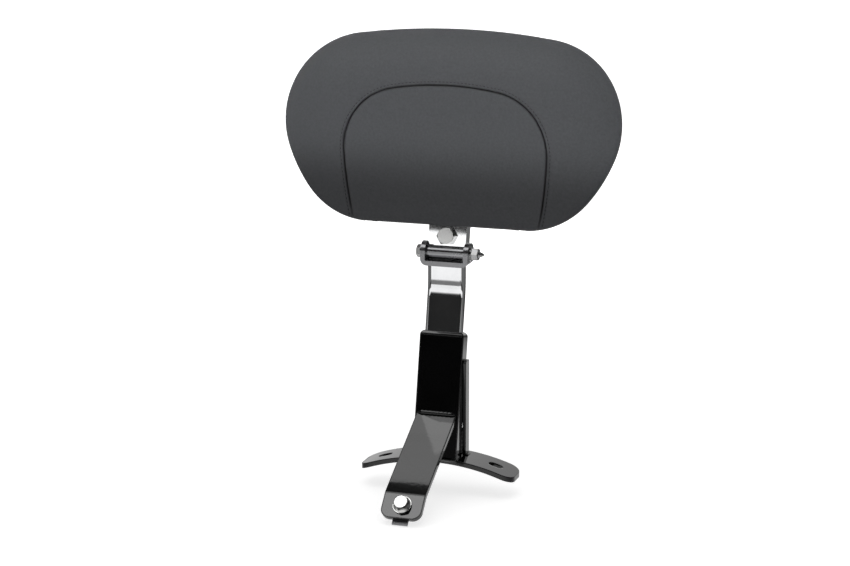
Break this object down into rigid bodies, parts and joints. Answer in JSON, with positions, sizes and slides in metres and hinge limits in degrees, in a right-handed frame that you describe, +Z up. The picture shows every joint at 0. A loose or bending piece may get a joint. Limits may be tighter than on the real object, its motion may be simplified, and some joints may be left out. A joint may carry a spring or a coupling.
{
  "type": "motorcycle driver backrest",
  "caption": "Padded driver backrest with a folding, height adjustable pad on a chrome post in a black fender bracket.",
  "frame": {"origin": "midway between the two slots of the base strap, at the middle of the strap's thickness there", "axes": "+Z up, +X to the right seen from the front, +Y to the rear; the padded face looks along -Y"},
  "size_m": [0.3387, 0.1877, 0.4447],
  "materials": {
    "bracket_black": "gloss black powder coat",
    "black_oxide": "black oxide steel",
    "chrome": "mirror chrome plate",
    "zinc": "zinc plated steel",
    "bush_plastic": "black nylon",
    "shell_plastic": "textured black plastic",
    "vinyl": "matte charcoal vinyl with black topstitching"
  },
  "bodies": {
    "bracket": {"base_strap": "bracket_black", "receiver_tube": "bracket_black", "side_brace": "bracket_black", "front_leg": "bracket_black", "foot_bolt": "zinc", "clip_nut": "black_oxide"},
    "post": {"post_bar": "chrome", "hinge_saddle": "chrome", "pivot_bolt": "zinc", "pivot_washers": "zinc", "pivot_lock_nut": "zinc"},
    "yoke": {"yoke_plate": "chrome", "hinge_barrel": "chrome", "pivot_bushes": "bush_plastic"},
    "pad": {"height_bar": "chrome", "clamp_bolt": "zinc", "clamp_washer": "zinc", "clamp_nut": "zinc", "pad_shell": "shell_plastic", "pad_cushion": "vinyl", "shell_screws": "zinc", "shell_inserts": "zinc"}
  },
  "joints": [
    {"name": "post_lift", "type": "slide", "parent": "bracket", "child": "post", "axis": [0, 0.1994, 0.9799], "range_m": [0, 0.09]},
    {"name": "pad_fold", "type": "hinge", "parent": "post", "child": "yoke", "pos_m": [0, 0.02057, 0.20585], "axis": [1, 0, 0], "range_deg": [0, 80]},
    {"name": "pad_height", "type": "slide", "parent": "yoke", "child": "pad", "axis": [0, 0.1994, 0.9799], "range_m": [0, 0.025]}
  ]
}
